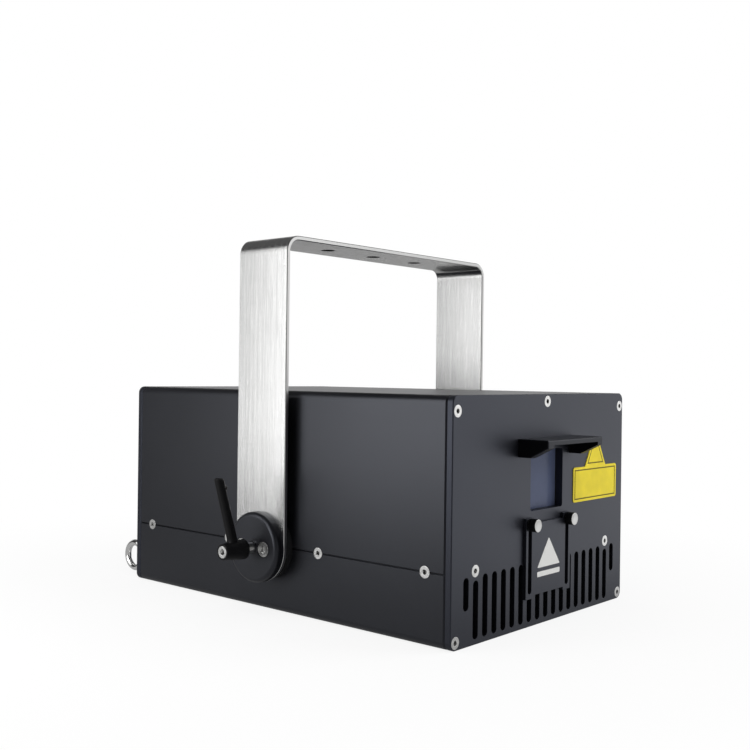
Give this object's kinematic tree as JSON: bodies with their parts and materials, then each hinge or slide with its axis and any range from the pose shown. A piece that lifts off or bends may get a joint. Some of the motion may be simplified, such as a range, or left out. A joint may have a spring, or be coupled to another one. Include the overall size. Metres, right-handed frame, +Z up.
{
  "type": "laser show projector",
  "caption": "Compact stage laser projector: long black housing with beam window, hood, sliding mask and vents, hung in a brushed steel yoke with clamping levers.",
  "frame": {"origin": "middle of the housing's underside, halfway along its sleeve", "axes": "+Z up, the beam leaves towards -Y, +X to the right seen from the front"},
  "size_m": [0.3068, 0.3628, 0.257],
  "materials": {
    "black_anodised": "fine satin anodised",
    "black_panel": "fine satin anodised",
    "brushed_stainless": "brushed along the strip",
    "black_cast": "fine powder coat",
    "bright_steel": "turned",
    "chrome": "polished",
    "window_glass": "coated, polished",
    "black_rubber": "matt",
    "black_plastic": "fine texture",
    "mill_aluminium": "machined",
    "nickel": "satin nickel",
    "board_green": "solder mask",
    "mirror": "front silvered",
    "lamp": "translucent",
    "brass": "turned"
  },
  "bodies": {
    "housing": {"housing_sleeve": "black_anodised", "front_panel": "black_panel", "rear_panel": "black_panel", "front_panel_screws": "bright_steel", "rear_panel_screws": "bright_steel", "side_screws": "bright_steel", "aperture_hood": "black_panel", "hood_screws": "bright_steel", "window_seal": "black_rubber", "aperture_window": "window_glass", "window_frame": "mill_aluminium", "optical_bench": "mill_aluminium", "heat_sink": "mill_aluminium", "power_supply": "mill_aluminium", "red_laser_module": "mill_aluminium", "green_laser_module": "mill_aluminium", "blue_laser_module": "mill_aluminium", "mirror_posts": "mill_aluminium", "combining_mirrors": "mirror", "scanner_block": "mill_aluminium", "vertical_scan_motor": "bright_steel", "horizontal_scan_motor": "bright_steel", "scanner_board": "board_green", "control_board": "board_green", "diode_board": "board_green", "board_standoffs": "brass", "left_fan_frame": "black_plastic", "right_fan_frame": "black_plastic", "dmx_in_socket": "nickel", "dmx_out_socket": "nickel", "network_socket": "nickel", "interlock_socket": "nickel", "socket_screws": "bright_steel", "mains_inlet": "black_plastic", "power_switch_body": "black_plastic", "key_switch_body": "nickel", "scan_data_socket": "nickel", "status_lights": "lamp", "safety_eye": "chrome", "left_pivot_block": "bright_steel", "right_pivot_block": "bright_steel", "left_pivot_spacer": "black_plastic", "right_pivot_spacer": "black_plastic"},
    "bracket": {"mounting_bracket": "brushed_stainless", "left_brake_disc": "black_cast", "right_brake_disc": "black_cast", "brake_disc_screws": "bright_steel"},
    "left_stud": {"left_lever_stud": "bright_steel"},
    "right_stud": {"right_lever_stud": "bright_steel"},
    "left_lever": {"left_clamp_lever": "black_cast"},
    "right_lever": {"right_clamp_lever": "black_cast"},
    "shutter": {"aperture_shutter": "black_panel"},
    "left_thumb": {"left_thumb_screw": "black_cast"},
    "right_thumb": {"right_thumb_screw": "black_cast"},
    "left_fan": {"left_fan_rotor": "black_plastic"},
    "right_fan": {"right_fan_rotor": "black_plastic"},
    "rocker": {"power_rocker": "black_plastic"},
    "key": {"key_barrel": "nickel"},
    "vertical_scan": {"vertical_scan_mirror": "mirror"},
    "horizontal_scan": {"horizontal_scan_mirror": "mirror"}
  },
  "joints": [
    {"name": "bracket_tilt", "type": "hinge", "parent": "housing", "child": "bracket", "pos_m": [0, 0.002, 0.045], "axis": [1, 0, 0], "continuous": true},
    {"name": "left_lever_turn", "type": "hinge", "parent": "housing", "child": "left_stud", "pos_m": [-0.1285, 0.002, 0.045], "axis": [1, 0, 0], "range_deg": [-90, 90]},
    {"name": "left_lever_lift", "type": "slide", "parent": "left_stud", "child": "left_lever", "axis": [-1, 0, 0], "range_m": [0, 0.004], "stiffness_N_per_m": 400},
    {"name": "left_thumb_turn", "type": "hinge", "parent": "housing", "child": "left_thumb", "pos_m": [-0.023, -0.16, 0.0673], "axis": [0, -1, 0], "continuous": true},
    {"name": "left_fan_spin", "type": "hinge", "parent": "housing", "child": "left_fan", "pos_m": [-0.03, 0.146, 0.0235], "axis": [0, 1, 0], "continuous": true},
    {"name": "right_lever_turn", "type": "hinge", "parent": "housing", "child": "right_stud", "pos_m": [0.1285, 0.002, 0.045], "axis": [1, 0, 0], "range_deg": [-90, 90]},
    {"name": "right_lever_lift", "type": "slide", "parent": "right_stud", "child": "right_lever", "axis": [1, 0, 0], "range_m": [0, 0.004], "stiffness_N_per_m": 400},
    {"name": "right_thumb_turn", "type": "hinge", "parent": "housing", "child": "right_thumb", "pos_m": [0.023, -0.16, 0.0673], "axis": [0, -1, 0], "continuous": true},
    {"name": "right_fan_spin", "type": "hinge", "parent": "housing", "child": "right_fan", "pos_m": [0.03, 0.146, 0.0235], "axis": [0, 1, 0], "continuous": true},
    {"name": "shutter_slide", "type": "slide", "parent": "housing", "child": "shutter", "axis": [0, 0, 1], "range_m": [0, 0.043]},
    {"name": "rocker_tip", "type": "hinge", "parent": "housing", "child": "rocker", "pos_m": [0.03675, 0.155, 0.07717], "axis": [1, 0, 0], "range_deg": [-16, 0]},
    {"name": "key_turn", "type": "hinge", "parent": "housing", "child": "key", "pos_m": [-0.082, 0.155, 0.07717], "axis": [0, 1, 0], "range_deg": [0, 90]},
    {"name": "vertical_scan_turn", "type": "hinge", "parent": "housing", "child": "vertical_scan", "pos_m": [0, -0.118, 0.0956], "axis": [1, 0, 0], "range_deg": [-12, 12]},
    {"name": "horizontal_scan_turn", "type": "hinge", "parent": "housing", "child": "horizontal_scan", "pos_m": [0, -0.102, 0.0956], "axis": [0, 0, 1], "range_deg": [-12, 12]}
  ]
}
